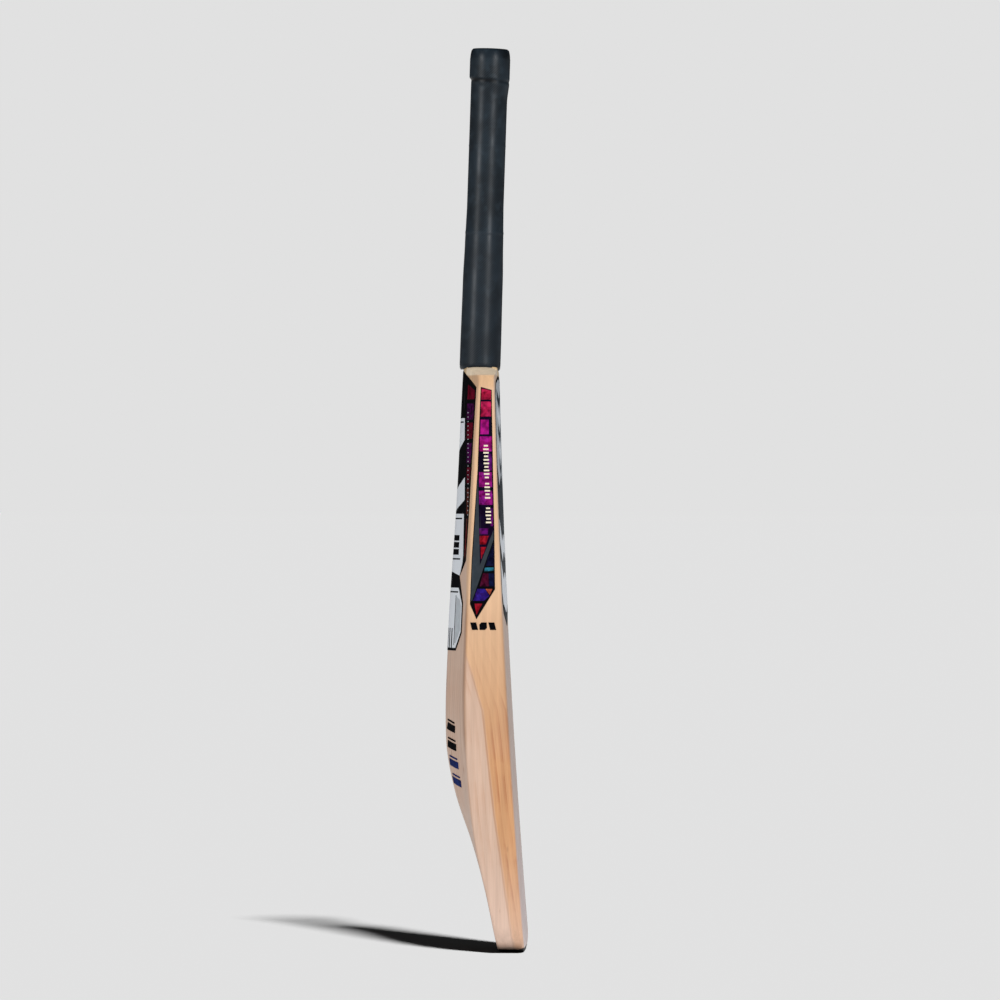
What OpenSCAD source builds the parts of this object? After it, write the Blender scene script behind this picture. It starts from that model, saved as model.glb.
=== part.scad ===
// Cricket bat: a willow blade with a V-spliced handle of twelve canes and two rubber
// springs, bound with twine, in a rubber grip, with a toe guard, stickers and transfers.
// Millimetres. X is across the blade, -Y is the hitting face, +Y the spine, +Z up the bat.
// The origin is the middle of the toe's flat underside.

/* [Blade] */
// Length of the blade, from the toe's underside to the top of the shoulders
blade_length = 550; // [520:1:580]
// Width of the blade
blade_width = 108; // [96:1:108]
// Greatest depth of the blade, face to spine
spine_depth = 62; // [54:1:67]
// Greatest depth of the two edges
edge_depth = 41; // [32:1:42]
// Angle between the face's chord and the vertical
face_lean = 3.06; // [2:0.01:4]
// How far the middle of the face is bowed back from its chord
face_bow = 4; // [0:0.5:8]
// How far the middle of the face stands proud of its corners
face_camber = 1.2; // [0:0.1:2]
// How much the back's slopes are hollowed, as a share of their fall
back_hollow = 0.22; // [0:0.02:0.4]
// Roundness of the spine's ridge
ridge_round = 9; // [4:0.5:14]
// Height over which the toe rounds up to the edges, seen from the face
toe_rise = 26; // [20:1:34]
// Width of the toe's flat middle
toe_flat = 24; // [16:2:50]
// How far the foot of the face curves back above the toe guard
toe_ease = 4; // [2:0.5:5]
// Height over which the shoulders fall from the handle to the edges
shoulder_height = 19; // [14:1:30]
// Radius of the blade's long corners
corner_round = 3; // [2:0.5:4]
// Radius to which the corners grow where the shoulders meet the handle
neck_round = 12; // [8:0.5:12]

/* [Handle] */
// Length of the handle, from the shoulders to its end
handle_length = 300; // [270:1:310]
// Angle by which the handle leans towards the face
handle_lean = 1.9; // [0.5:0.1:3]
// Distance of the handle's axis behind the face, at the shoulders
handle_setback = 15.6; // [15.2:0.1:17]
// Radius of the cane where it leaves the blade
cane_base_r = 16.3; // [15.5:0.1:16.3]
// Radius of the cane at its upper end
cane_top_r = 14.3; // [13:0.1:15]
// Thickness of the middle layer of canes
cane_middle = 9; // [8:0.5:10]
// Thickness of each of the two rubber springs
spring_rubber = 1.5; // [1:0.25:2]
// Depth of the V-shaped splice, measured down from the shoulders
splice_depth = 120; // [100:5:140]
// Half the splice's width at the shoulders
splice_top = 14.5; // [12:0.5:14.5]
// Half the splice's width at its tip
splice_tip = 1.5; // [1:0.25:3]
// Thickness of the twine binding
twine = 0.9; // [0.6:0.1:1.2]

/* [Grip and toe guard] */
// Outer radius of the grip's straight upper stretch
grip_r = 17.1; // [17:0.1:18]
// Outer radius of the collar at the grip's upper end
collar_r = 18.8; // [18.4:0.1:20]
// Length of the collar
collar_length = 27; // [20:1:35]
// Thickness of the lip that folds over the handle's end
lip = 1.2; // [0.8:0.1:2]
// Thickness of the rubber guard under the toe
guard = 2.5; // [2:0.5:4]
// Thickness of a sticker
sticker = 0.3; // [0.2:0.05:0.5]

/* [Hidden] */

half_w = blade_width / 2;
shoulder_start = blade_length - shoulder_height;
crease = shoulder_start + 0.55 * shoulder_height;
crease_inset = 3.5;
toe_curve = 5 * toe_ease;
cane_width = 8.2;
cane_length = handle_length - lip;
fit_gap = 0.7;
far = 100;

willow = "burlywood";
cane_colour = "wheat";
rubber_colour = "dimgray";
twine_colour = "linen";
grip_colour = "darkslategray";
sticker_colour = "black";
edge_sticker_colour = "purple";
transfer_colour = "midnightblue";

// Depth of the blade along its length: [share of the length, share of the greatest depth]
spine_shape = [
    [0, 0.42], [0.09, 0.54], [0.18, 0.7], [0.27, 0.91], [0.36, 1],
    [0.55, 0.87], [0.77, 0.66], [1, 0.5]
];
edge_shape = [
    [0, 0.61], [0.09, 0.757], [0.18, 0.937], [0.27, 1], [0.42, 0.976],
    [0.6, 0.78], [0.8, 0.546], [1, 0.322]
];

// Smooth curve through a shape's stations; each station's slope comes from its neighbours
function rise(shape, i) =
    let (a = max(i - 1, 0), b = min(i + 1, len(shape) - 1))
    (shape[b][1] - shape[a][1]) / (shape[b][0] - shape[a][0]);
function span_of(shape, s, i = 0) =
    i >= len(shape) - 2 || s < shape[i + 1][0] ? i : span_of(shape, s, i + 1);
function follow(shape, s) =
    let (
        i = span_of(shape, s),
        h = shape[i + 1][0] - shape[i][0],
        u = (s - shape[i][0]) / h,
        start = (1 + 2 * u) * pow(1 - u, 2) * shape[i][1],
        end = u * u * (3 - 2 * u) * shape[i + 1][1],
        start_rise = u * pow(1 - u, 2) * h * rise(shape, i),
        end_rise = u * u * (u - 1) * h * rise(shape, i + 1)
    )
    start + end + start_rise + end_rise;

function spine_at(z) = spine_depth * follow(spine_shape, z / blade_length);
function edge_at(z) = edge_depth * follow(edge_shape, z / blade_length);

// A quarter ellipse's drop, used to ease the toe's underside into the face and the back
function ease_in(z, depth, height) =
    z < height ? depth * (1 - bulge((height - z) / height)) : 0;

// Face corner and handle axis in Y
face_start = -edge_at(0) / 2;
function face_at(z) =
    let (t = z / shoulder_start)
    face_start + z * tan(face_lean) + 4 * face_bow * t * (1 - t);
handle_y = face_at(blade_length) + handle_setback;

// Half the blade's width in the face view: a quarter-ellipse at the toe; at the shoulders the
// edges curve in a little, up to a crease, and a straight slope runs from there to the handle
function bulge(u) = sqrt(max(0, 1 - u * u));
function shoulder_width_at(z) =
    z < crease
        ? half_w - crease_inset * pow((z - shoulder_start) / (crease - shoulder_start), 2)
        : cane_base_r + (half_w - crease_inset - cane_base_r) * (blade_length - z)
            / (blade_length - crease);
function half_width_at(z) =
    z < toe_rise
        ? toe_flat / 2 + (half_w - toe_flat / 2) * bulge((toe_rise - z) / toe_rise)
        : z > shoulder_start ? shoulder_width_at(z) : half_w;

// Radius of the section's corners, which grow over the shoulders towards the round handle
function corner_at(z) =
    z > shoulder_start
        ? corner_round + (neck_round - corner_round)
            * pow((z - shoulder_start) / shoulder_height, 2)
        : corner_round;

// The back: the spine's rounded ridge, falling through a hollow slope to the edges
function ridge_fall(x) = sqrt(x * x + ridge_round * ridge_round) - ridge_round;
function back_at(x, z) =
    let (q = 1 - ridge_fall(x) / ridge_fall(half_w), share = q * (1 - back_hollow * (1 - q)))
    face_at(z) + edge_at(z) + (spine_at(z) - edge_at(z)) * share
        - ease_in(z, toe_ease / 2, toe_ease / 2);
function back_slope(x, z) = (back_at(x - 0.5, z) - back_at(x + 0.5, z));
function front_at(x, z) =
    face_at(z) - face_camber * (1 - pow(x / half_w, 2)) + ease_in(z, toe_ease, toe_curve);

// Half of the blade's section at height z, from the face's middle round to the spine,
// with its surface moved out by skin
function half_section(z, skin) =
    let (
        w = half_width_at(z),
        r = corner_at(z),
        front_x = w - r,
        front_y = front_at(front_x, z) + r,
        beta = atan(back_slope(w - r, z)),
        back_y = back_at(w - r, z) - r / cos(beta),
        last_x = w - r + r * sin(beta)
    )
    concat(
        [for (k = [0, 0.25, 0.5, 0.75]) [k * front_x, front_at(k * front_x, z) - skin]],
        [for (a = [-90:30:0]) [front_x + (r + skin) * cos(a), front_y + (r + skin) * sin(a)]],
        [for (i = [0:3]) let (a = i * (90 - beta) / 3)
            [w - r + (r + skin) * cos(a), back_y + (r + skin) * sin(a)]],
        [for (k = [0.88, 0.75, 0.62, 0.5, 0.38, 0.27, 0.17, 0.08, 0])
            let (x = k * last_x, m = back_slope(x, z)) [x, back_at(x, z) + skin * sqrt(1 + m * m)]]
    );
function section(z, skin) =
    let (half = half_section(z, skin), n = len(half))
    [for (i = [0:2 * n - 3])
        let (p = i < n ? half[i] : half[2 * n - 2 - i]) [i < n ? p[0] : -p[0], p[1], z]];

// Heights of the blade's sections: close together round the toe and the shoulders
middle_sections = 40;
sections_z = concat(
    [for (a = [0:12.5:90]) toe_rise * (1 - cos(a))],
    [for (i = [0:middle_sections])
        toe_rise + i * (shoulder_start - toe_rise) / (middle_sections + 1)],
    [for (k = [0:4]) shoulder_start + k / 4 * (crease - shoulder_start)],
    [for (k = [1:4]) crease + k / 4 * (blade_length - crease)]
);

// The blade's whole form, without its splice, between two heights
module blade_form(low = 0, high = blade_length, skin = 0) {
    rings = [for (z = sections_z) if (z >= low - 0.01 && z <= high + 0.01) section(z, skin)];
    n = len(rings[0]);
    top = (len(rings) - 1) * n;
    sides = [for (j = [0:len(rings) - 2], i = [0:n - 1])
        let (a = j * n + i, b = j * n + (i + 1) % n)
        each [[a, b + n, b], [a, a + n, b + n]]];
    polyhedron(
        points = [for (ring = rings) each ring],
        faces = concat([[for (i = [0:n - 1]) i]], sides, [[for (i = [n - 1:-1:0]) top + i]])
    );
}

// Puts its children on the handle's axis, with Z along the handle from the shoulders
module on_handle() {
    translate([0, handle_y, blade_length]) rotate([handle_lean, 0, 0]) children();
}

// An outline in X and Z, carried through Y between two depths
module through_y(outline, from, to) {
    translate([0, to, 0]) rotate([90, 0, 0]) linear_extrude(to - from) polygon(outline);
}

// An outline in Y and Z, carried through X between two places
module through_x(outline, from, to) {
    translate([from, 0, 0]) rotate([90, 0, 90]) linear_extrude(to - from) polygon(outline);
}

// The V of the splice, as wide as the joint and running through the blade's depth
splice_outline = [
    [-splice_top, blade_length], [-splice_tip, blade_length - splice_depth],
    [splice_tip, blade_length - splice_depth], [splice_top, blade_length]
];
module splice() {
    through_y(splice_outline, -far, far);
}
// The splice's V, raised past the blade's top so that the blade is cut clean
module splice_cut() {
    splice();
    translate([-splice_top, -far, blade_length - 0.01]) cube([2 * splice_top, 2 * far, 5]);
}

// Space under the toe that the rubber guard fills: flat, turning up a little at the face
module guard_space() {
    face = face_start;
    through_x([
        [face - 5, -5], [far, -5], [far, guard], [face + 7, guard], [face - 1, 2 * guard + 0.5]
    ], -far, far);
}

module blade() {
    color(willow) difference() {
        blade_form();
        splice_cut();
        guard_space();
    }
}

module toe_guard() {
    color(rubber_colour) intersection() {
        blade_form(high = toe_rise);
        guard_space();
    }
}

// The handle's round stretch, from the shoulders to the end of the cane
module round_stretch() {
    intersection() {
        on_handle() translate([0, 0, -5]) cylinder(
            h = cane_length + 5, r1 = cane_base_r, r2 = cane_top_r, $fn = 96
        );
        translate([-far, -far, blade_length]) cube([2 * far, 2 * far, handle_length + 10]);
    }
}

// The wedge that fills the splice; the outer layers are cut flush with the blade
module wedge(flush) {
    if (flush) intersection() {
        blade_form(low = blade_length - splice_depth - 15);
        splice();
    }
    else splice();
}

// A sheet of the handle that runs from the splice's tip to the handle's end
module sheet(x, y, width, depth, flush) {
    module slab() {
        on_handle() translate([x, y, -1.3 * splice_depth])
            cube([width, depth, handle_length + 1.4 * splice_depth]);
    }
    intersection() {
        slab();
        round_stretch();
    }
    intersection() {
        slab();
        wedge(flush);
    }
}

// One lath of cane: columns 1 to 4 run across the handle, at a depth from its axis
module lath(column, from, depth, flush) {
    sheet((column - 3) * cane_width, from, cane_width, depth, flush);
}

inner_layer = cane_middle / 2;
outer_layer = inner_layer + spring_rubber;
module cane_front(i) {
    color(cane_colour) lath(i, -far / 2, far / 2 - outer_layer, true);
}
module cane_middle(i) {
    color(cane_colour) lath(i, -inner_layer, cane_middle, false);
}
module cane_back(i) {
    color(cane_colour) lath(i, outer_layer, far / 2 - outer_layer, true);
}

// A spring is a sheet of rubber, as wide as the handle, between two layers of cane
module spring(from) {
    color(rubber_colour) sheet(-2 * cane_width, from, 4 * cane_width, spring_rubber, false);
}

module handle_binding() {
    color(twine_colour) on_handle() difference() {
        translate([0, 0, fit_gap]) cylinder(
            h = cane_length - fit_gap, r1 = cane_base_r + twine, r2 = cane_top_r + twine, $fn = 96
        );
        translate([0, 0, -5]) cylinder(
            h = cane_length + 5, r1 = cane_base_r, r2 = cane_top_r, $fn = 96
        );
        translate([0, 0, cane_length]) cylinder(h = 5, r = cane_top_r, $fn = 96);
    }
}

// The grip: a sleeve that flares towards the blade, with a collar and a folded lip.
// Its outline is [radius, distance along the handle], up the inside and down the outside.
grip_overlap = 2.5;
rim_height = 6;
collar_taper = 12;
lip_reach = 1.5;
flare_end = handle_length / 2;
collar_start = handle_length - collar_length;
grip_profile = [
    [cane_base_r + twine, -grip_overlap],
    [cane_base_r + twine, fit_gap],
    [cane_top_r + twine, cane_length],
    [cane_top_r - lip_reach, cane_length],
    [cane_top_r - lip_reach, handle_length - lip / 4],
    [cane_top_r - lip_reach / 2, handle_length],
    [collar_r - 1.3, handle_length - 0.4 * rim_height],
    [collar_r, handle_length - rim_height],
    [collar_r, collar_start],
    [grip_r, collar_start - collar_taper],
    [grip_r, flare_end],
    [grip_r + 0.8, flare_end - 32],
    [grip_r + 1.6, flare_end - 70],
    [grip_r + 2, flare_end - 120],
    [grip_r + 2, flare_end - 138],
    [grip_r + 1.6, -grip_overlap]
];
module grip() {
    color(grip_colour) difference() {
        on_handle() rotate_extrude($fn = 128) polygon(grip_profile);
        blade_form(low = blade_length - shoulder_height);
    }
}

// Stickers and transfers: thin skins on the blade, cut to an outline
module skin_of(low, high) {
    difference() {
        blade_form(low - 25, high + 25, sticker);
        blade_form(low - 40, high + 40);
    }
}

// The right half of an outline, given from top to bottom, and its mirror image
function both_sides(right) =
    concat(right, [for (i = [len(right) - 1:-1:0]) [-right[i][0], right[i][1]]]);

// Long panel on the back, waisted above its lower lobe
back_panel = both_sides([
    [6, 546], [47, 530], [45, 420], [43, 368], [27, 353], [40, 328], [40, 300], [26, 283]
]);
module back_sticker() {
    color(sticker_colour) intersection() {
        skin_of(270, 520);
        through_y(back_panel, handle_y, far);
    }
}

// Panel on the face, pointed at its lower end
face_panel = both_sides([[10, 541], [38, 536], [49, 524], [49, 330], [40, 318], [0.5, 306]]);
module face_sticker() {
    color(sticker_colour) intersection() {
        skin_of(290, 520);
        through_y(face_panel, -far, handle_y);
    }
}

// Arrow down each edge: [distance behind the face's corner, height]
edge_arrow = [
    [2.5, 527.4], [3, 481], [4.1, 396], [5.8, 341], [24.5, 313], [29.9, 327], [26.5, 368],
    [17.7, 453], [12.7, 530.2]
];
module edge_sticker(side) {
    outline = [for (p = edge_arrow) [face_at(p[1]) + p[0], p[1]]];
    inside = half_w - 1;
    color(edge_sticker_colour) intersection() {
        skin_of(300, 520);
        through_x(outline, side < 0 ? -far : inside, side < 0 ? -inside : far);
    }
}

// Slanted strokes low on the back, to one side of the spine
stroke_count = 4;
stroke_pitch = 17;
module back_transfer() {
    color(transfer_colour) intersection() {
        skin_of(130, 240);
        union() {
            for (i = [0:stroke_count - 1]) {
                z = 154 + i * stroke_pitch;
                through_y([[-34, z], [-8, z + 4], [-8, z + 14], [-34, z + 10]], handle_y, far);
            }
        }
    }
}

// Row of three marks under the point of the edge arrow
mark_size = 7;
mark_gap = 1.5;
mark_inset = 6.5;
mark_z = 303;
module edge_transfer(side) {
    inside = half_w - 1;
    color(transfer_colour) intersection() {
        skin_of(280, 330);
        for (i = [0:2]) {
            y = face_at(mark_z) + mark_inset + i * (mark_size + mark_gap);
            translate([side < 0 ? -far : inside, y, mark_z])
                cube([far - inside, mark_size, mark_size]);
        }
    }
}

blade();
toe_guard();
for (i = [1:4]) {
    cane_front(i);
    cane_middle(i);
    cane_back(i);
}
spring(-outer_layer);  // spring_rubber_front
spring(inner_layer);  // spring_rubber_back
handle_binding();
grip();
face_sticker();
back_sticker();
edge_sticker(-1);  // edge_sticker_left
edge_sticker(1);  // edge_sticker_right
back_transfer();
edge_transfer(-1);  // edge_transfer_left
edge_transfer(1);  // edge_transfer_right
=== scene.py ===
# %% [markdown]
# # A cricket bat
# The bat is a willow blade with a cane handle spliced into it. The handle wears a rubber grip,
# a thin rubber guard protects the toe, and vinyl stickers cover the back, the face and both edges.
# The imported model is loaded first as a fixed frame.

# %% Load the frame
import math
import bpy
import bmesh
from mathutils import Euler, Matrix, Vector


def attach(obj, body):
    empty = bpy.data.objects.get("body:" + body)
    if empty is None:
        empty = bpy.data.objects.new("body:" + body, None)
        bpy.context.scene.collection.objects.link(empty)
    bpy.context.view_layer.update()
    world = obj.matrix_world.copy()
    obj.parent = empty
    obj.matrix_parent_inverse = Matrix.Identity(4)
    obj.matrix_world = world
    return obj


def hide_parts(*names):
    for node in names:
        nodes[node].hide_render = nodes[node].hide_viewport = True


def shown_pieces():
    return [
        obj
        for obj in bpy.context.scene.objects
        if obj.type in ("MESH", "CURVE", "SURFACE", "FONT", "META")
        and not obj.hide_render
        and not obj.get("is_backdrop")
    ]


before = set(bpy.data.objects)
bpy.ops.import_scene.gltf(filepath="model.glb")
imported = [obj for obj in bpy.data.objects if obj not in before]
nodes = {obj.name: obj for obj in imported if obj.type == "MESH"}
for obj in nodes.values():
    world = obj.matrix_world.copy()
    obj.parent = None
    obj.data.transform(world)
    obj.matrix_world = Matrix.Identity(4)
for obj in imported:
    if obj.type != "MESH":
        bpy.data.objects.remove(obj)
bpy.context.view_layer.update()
print("solids in the frame:", len(nodes))

# %% [markdown]
# Bat makers work in millimetres, so every size below is one. A mesh is turned into metres once,
# when it becomes an object. X runs across the blade, -Y is the hitting face, +Y the spine.

# %% Millimetres, and turning a mesh into a piece of the bat
MM = 0.001


def finish_piece(name, bm, material, stands_for, sharp=35):
    """Turns a mesh in millimetres into a smooth-shaded piece that rides with the bat."""
    bmesh.ops.scale(bm, vec=(MM, MM, MM), verts=bm.verts)
    mesh = bpy.data.meshes.new(name)
    bm.to_mesh(mesh)
    bm.free()
    mesh.shade_smooth()
    mesh.set_sharp_from_angle(angle=math.radians(sharp))
    mesh.materials.append(material)
    piece = bpy.data.objects.new(name, mesh)
    bpy.context.scene.collection.objects.link(piece)
    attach(piece, "root")
    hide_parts(*stands_for)
    print(name, "has", len(mesh.polygons), "faces")
    return piece


# %% [markdown]
# ## The camera
# The bat stands on its toe and is seen square on to one edge, from a few degrees in front of it.
# A long lens at six metres keeps the two ends of the bat nearly parallel.

# %% Camera
def look_from(azimuth, distance, target):
    """Where a camera stands that looks level at the target from an angle round it."""
    angle = math.radians(azimuth)
    return target + distance * Vector((math.sin(angle), -math.cos(angle), 0))


camera_azimuth = -87.4
camera_distance = 6.0
camera_target = Vector((0, 13 * MM, 424.5 * MM))
field_height = 943.4 * MM

camera_data = bpy.data.cameras.new("camera")
camera_data.sensor_width = 36
camera_data.lens = 36 * camera_distance / field_height
camera_data.clip_end = 1000
camera = bpy.data.objects.new("camera", camera_data)
camera.location = look_from(camera_azimuth, camera_distance, camera_target)
camera.rotation_euler = (camera_target - camera.location).to_track_quat("-Z", "Y").to_euler()
bpy.context.scene.collection.objects.link(camera)
bpy.context.scene.camera = camera
print("lens", round(camera_data.lens, 1), "mm")

# %% [markdown]
# ## Light
# A pale studio is a big floor and a world of the same pale grey, so the horizon disappears. What
# the camera sees of the world and what the world shines on the bat are set apart with a Light
# Path node. Big soft boxes light the wood evenly and one overhead lights the shoulders. They and
# the world stay out of reflections, so that black rubber and vinyl stay black. Two narrow strips
# shine on the grip alone and draw two highlights down it. A lamp that shines on the floor alone
# gives the one shadow that grounds the toe: crisp there, and softer the further it runs.

# %% World
PALE = 0.753
WORLD_LIGHT = (0.41, 0.412, 0.42, 1)
scene = bpy.context.scene
scene.view_settings.view_transform = "Standard"

world = bpy.data.worlds.new("pale studio")
world.use_nodes = True
scene.world = world
tree = world.node_tree
tree.nodes.clear()
seen = tree.nodes.new("ShaderNodeBackground")
seen.inputs["Color"].default_value = (PALE, PALE, PALE, 1)
shining = tree.nodes.new("ShaderNodeBackground")
shining.inputs["Color"].default_value = WORLD_LIGHT
ray = tree.nodes.new("ShaderNodeLightPath")
choose = tree.nodes.new("ShaderNodeMixShader")
out = tree.nodes.new("ShaderNodeOutputWorld")
tree.links.new(ray.outputs["Is Camera Ray"], choose.inputs["Fac"])
tree.links.new(shining.outputs["Background"], choose.inputs[1])
tree.links.new(seen.outputs["Background"], choose.inputs[2])
tree.links.new(choose.outputs["Shader"], out.inputs["Surface"])
world.cycles_visibility.glossy = False
print("the world is seen at", PALE)

# %% Floor
floor_grey = 0.0272  # dark, because the lamp that shines on the floor alone is strong
floor_reach = 200  # metres from the bat to each side of the floor

floor_paint = bpy.data.materials.new("studio floor")
floor_paint.use_nodes = True
floor_shader = floor_paint.node_tree.nodes["Principled BSDF"]
floor_shader.inputs["Base Color"].default_value = (floor_grey, floor_grey, floor_grey, 1)
floor_shader.inputs["Roughness"].default_value = 1
floor_shader.inputs["Specular IOR Level"].default_value = 0

bm = bmesh.new()
bmesh.ops.create_grid(bm, x_segments=4, y_segments=4, size=floor_reach)
floor_mesh = bpy.data.meshes.new("floor")
bm.to_mesh(floor_mesh)
bm.free()
floor_mesh.materials.append(floor_paint)
floor = bpy.data.objects.new("floor", floor_mesh)
scene.collection.objects.link(floor)
floor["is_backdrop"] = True
print("floor", 2 * floor_reach, "m wide,", len(floor_mesh.polygons), "faces")

# %% Lamps
lit_floor = bpy.data.collections.new("floor only")
lit_floor.objects.link(floor)
lit_bat = bpy.data.collections.new("bat only")
lit_grip = bpy.data.collections.new("grip only")
lit_blade = bpy.data.collections.new("all but the grip")
bat_middle = Vector((0, 13 * MM, 430 * MM))
cool = (0.86, 0.93, 1.0)


def soft_box(name, aside, height, distance, size, watts, lit):
    """A lamp some degrees aside of the camera; it faces the bat and lights one collection."""
    data = bpy.data.lights.new(name, "AREA")
    data.shape = "RECTANGLE"
    data.size, data.size_y = size
    data.energy = watts
    lamp = bpy.data.objects.new(name, data)
    lamp.location = look_from(camera_azimuth + aside, distance, bat_middle)
    lamp.location.z = height
    lamp.rotation_euler = (bat_middle - lamp.location).to_track_quat("-Z", "Y").to_euler()
    scene.collection.objects.link(lamp)
    lamp.light_linking.receiver_collection = lit
    lamp.visible_glossy = lit is lit_grip
    return lamp


for box in [
    ("left box", -44, 0.6, 2.2, (0.3, 1.8), 8, lit_bat),
    ("front box", 6, 0.8, 2.8, (1.2, 1.6), 20, lit_bat),
    ("top box", 8, 2.4, 0.9, (0.9, 0.9), 14, lit_blade),
    ("low box", 20, 0.12, 1.6, (0.6, 0.2), 3, lit_bat),
    ("left strip", -50, 0.95, 2.0, (0.06, 0.4), 24, lit_grip),
    ("right strip", 31, 0.95, 2.0, (0.06, 0.4), 24, lit_grip),
]:
    soft_box(*box)
right_box = soft_box("right box", 38, 0.4, 2.2, (0.25, 1.8), 10, lit_bat)
right_box.data.color = cool

sun_strength, sun_softness = 100.0, math.radians(5.5)
sun_data = bpy.data.lights.new("floor lamp", "SUN")
sun_data.energy = sun_strength
sun_data.angle = sun_softness
sun = bpy.data.objects.new("floor lamp", sun_data)
shadow_run = Vector((0.452, 0.222, -0.85))
sun.rotation_euler = shadow_run.to_track_quat("-Z", "Y").to_euler()
scene.collection.objects.link(sun)
sun.light_linking.receiver_collection = lit_floor

# %% [markdown]
# ## Building blocks for the finishes
# Every finish is a small graph of nodes. A few helpers keep the graphs short: they add a node with
# its settings, do arithmetic, mix colours, and link roughness and bumps. Colours are written as
# the 0 to 255 values a paint chart uses, and turned into the linear values that a shader needs.

# %% Colours and arithmetic
def paint(red, green, blue):
    """A paint chart's colour as a linear colour with full alpha."""
    def linear(v):
        """Undoes the display's curve for one channel."""
        v = v / 255
        return v / 12.92 if v <= 0.04045 else ((v + 0.055) / 1.055) ** 2.4
    return (linear(red), linear(green), linear(blue), 1)


def add(tree, kind, inputs=None, **settings):
    """Adds a node; an input may be a value or another node's socket."""
    made = tree.nodes.new(kind)
    for name, value in settings.items():
        setattr(made, name, value)
    for name, value in (inputs or {}).items():
        if isinstance(value, bpy.types.NodeSocket):
            tree.links.new(value, made.inputs[name])
        else:
            made.inputs[name].default_value = value
    return made


def calc(tree, operation, *values):
    """One step of arithmetic on values or sockets."""
    made = add(tree, "ShaderNodeMath", dict(enumerate(values)), operation=operation)
    return made.outputs[0]


def mix(tree, share, first, second, blend="MIX"):
    """Mixes two colours; a share of 0 is all the first."""
    made = add(tree, "ShaderNodeMix", {0: share, 6: first, 7: second},
               data_type="RGBA", blend_type=blend)
    return made.outputs[2]


def ease(tree, value, low, high, to_low=0.0, to_high=1.0):
    """Runs smoothly from one value to another as the input goes from low to high."""
    made = add(tree, "ShaderNodeMapRange",
               {"Value": value, "From Min": low, "From Max": high,
                "To Min": to_low, "To Max": to_high},
               interpolation_type="SMOOTHSTEP")
    return made.outputs["Result"]


def shade(tree, colour, amount):
    """Makes a colour lighter or darker by a factor."""
    factor = add(tree, "ShaderNodeCombineColor", {0: amount, 1: amount, 2: amount})
    return mix(tree, 1.0, colour, factor.outputs[0], "MULTIPLY")


print("mid grey is", round(paint(128, 128, 128)[0], 3), "in linear light")


# %% Materials and groups
def new_finish(name, roughness, coat=0.0, coat_roughness=0.2, specular=0.5):
    """A material with its constant values set on the shader itself."""
    material = bpy.data.materials.new(name)
    material.use_nodes = True
    shader = material.node_tree.nodes["Principled BSDF"]
    shader.inputs["Roughness"].default_value = roughness
    shader.inputs["Coat Weight"].default_value = coat
    shader.inputs["Coat Roughness"].default_value = coat_roughness
    shader.inputs["Specular IOR Level"].default_value = specular
    return material, material.node_tree, shader


def new_group(name, inputs, outputs):
    """A node group with named sockets, and its two end nodes."""
    group = bpy.data.node_groups.new(name, "ShaderNodeTree")
    for title, kind, value in inputs:
        socket = group.interface.new_socket(title, in_out="INPUT", socket_type=kind)
        socket.default_value = value
    for title, kind in outputs:
        group.interface.new_socket(title, in_out="OUTPUT", socket_type=kind)
    return group, group.nodes.new("NodeGroupInput"), group.nodes.new("NodeGroupOutput")


def use(tree, group, inputs):
    """Places a group in a material with its own values."""
    return add(tree, "ShaderNodeGroup", inputs, node_tree=group)


def dull(tree, shader, value, at_low, at_high):
    """Lets the roughness follow a noise, from one value to another."""
    tree.links.new(ease(tree, value, 0.3, 0.7, at_low, at_high), shader.inputs["Roughness"])


def relief(tree, shader, height, strength, depth):
    """Gives the surface fine bumps of a depth in metres."""
    bump = add(tree, "ShaderNodeBump", {"Height": height, "Strength": strength, "Distance": depth})
    tree.links.new(bump.outputs["Normal"], shader.inputs["Normal"])


print("helpers for materials and groups are ready")

# %% [markdown]
# Wood needs two things at two scales. Growth rings are layers a few millimetres apart: each goes
# slowly from pale early wood to a thin dark line of late wood, then starts again. Fibres are a
# hundred times finer and run the whole length of the piece. Both are groups, because the willow
# and the cane use them with different values.

# %% Growth rings group
FLOAT = "NodeSocketFloat"
COLOR = "NodeSocketColor"

rings, start, end = new_group(
    "growth rings",
    [("Across", FLOAT, 0.0), ("Spacing", FLOAT, 0.007), ("Wander", FLOAT, 0.001),
     ("Line", FLOAT, 5.0)],
    [("Late wood", FLOAT)],
)
place = add(rings, "ShaderNodeTexCoord")
drawn_out = add(rings, "ShaderNodeMapping", {"Vector": place.outputs["Object"],
                                             "Scale": (1, 1, 0.12)})
waver = add(rings, "ShaderNodeTexNoise",
            {"Vector": drawn_out.outputs["Vector"], "Scale": 34.0, "Detail": 2.0})
offset = calc(rings, "MULTIPLY", calc(rings, "SUBTRACT", waver.outputs["Fac"], 0.5),
              start.outputs["Wander"])
moved = calc(rings, "ADD", start.outputs["Across"], calc(rings, "MULTIPLY", offset, 2.0))
turn = calc(rings, "FRACT", calc(rings, "DIVIDE", moved, start.outputs["Spacing"]))
line = calc(rings, "POWER", turn, start.outputs["Line"])
soft_end = ease(rings, turn, 1.0, 0.93)
rings.links.new(calc(rings, "MULTIPLY", line, soft_end), end.inputs["Late wood"])
print("group", rings.name)

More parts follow.
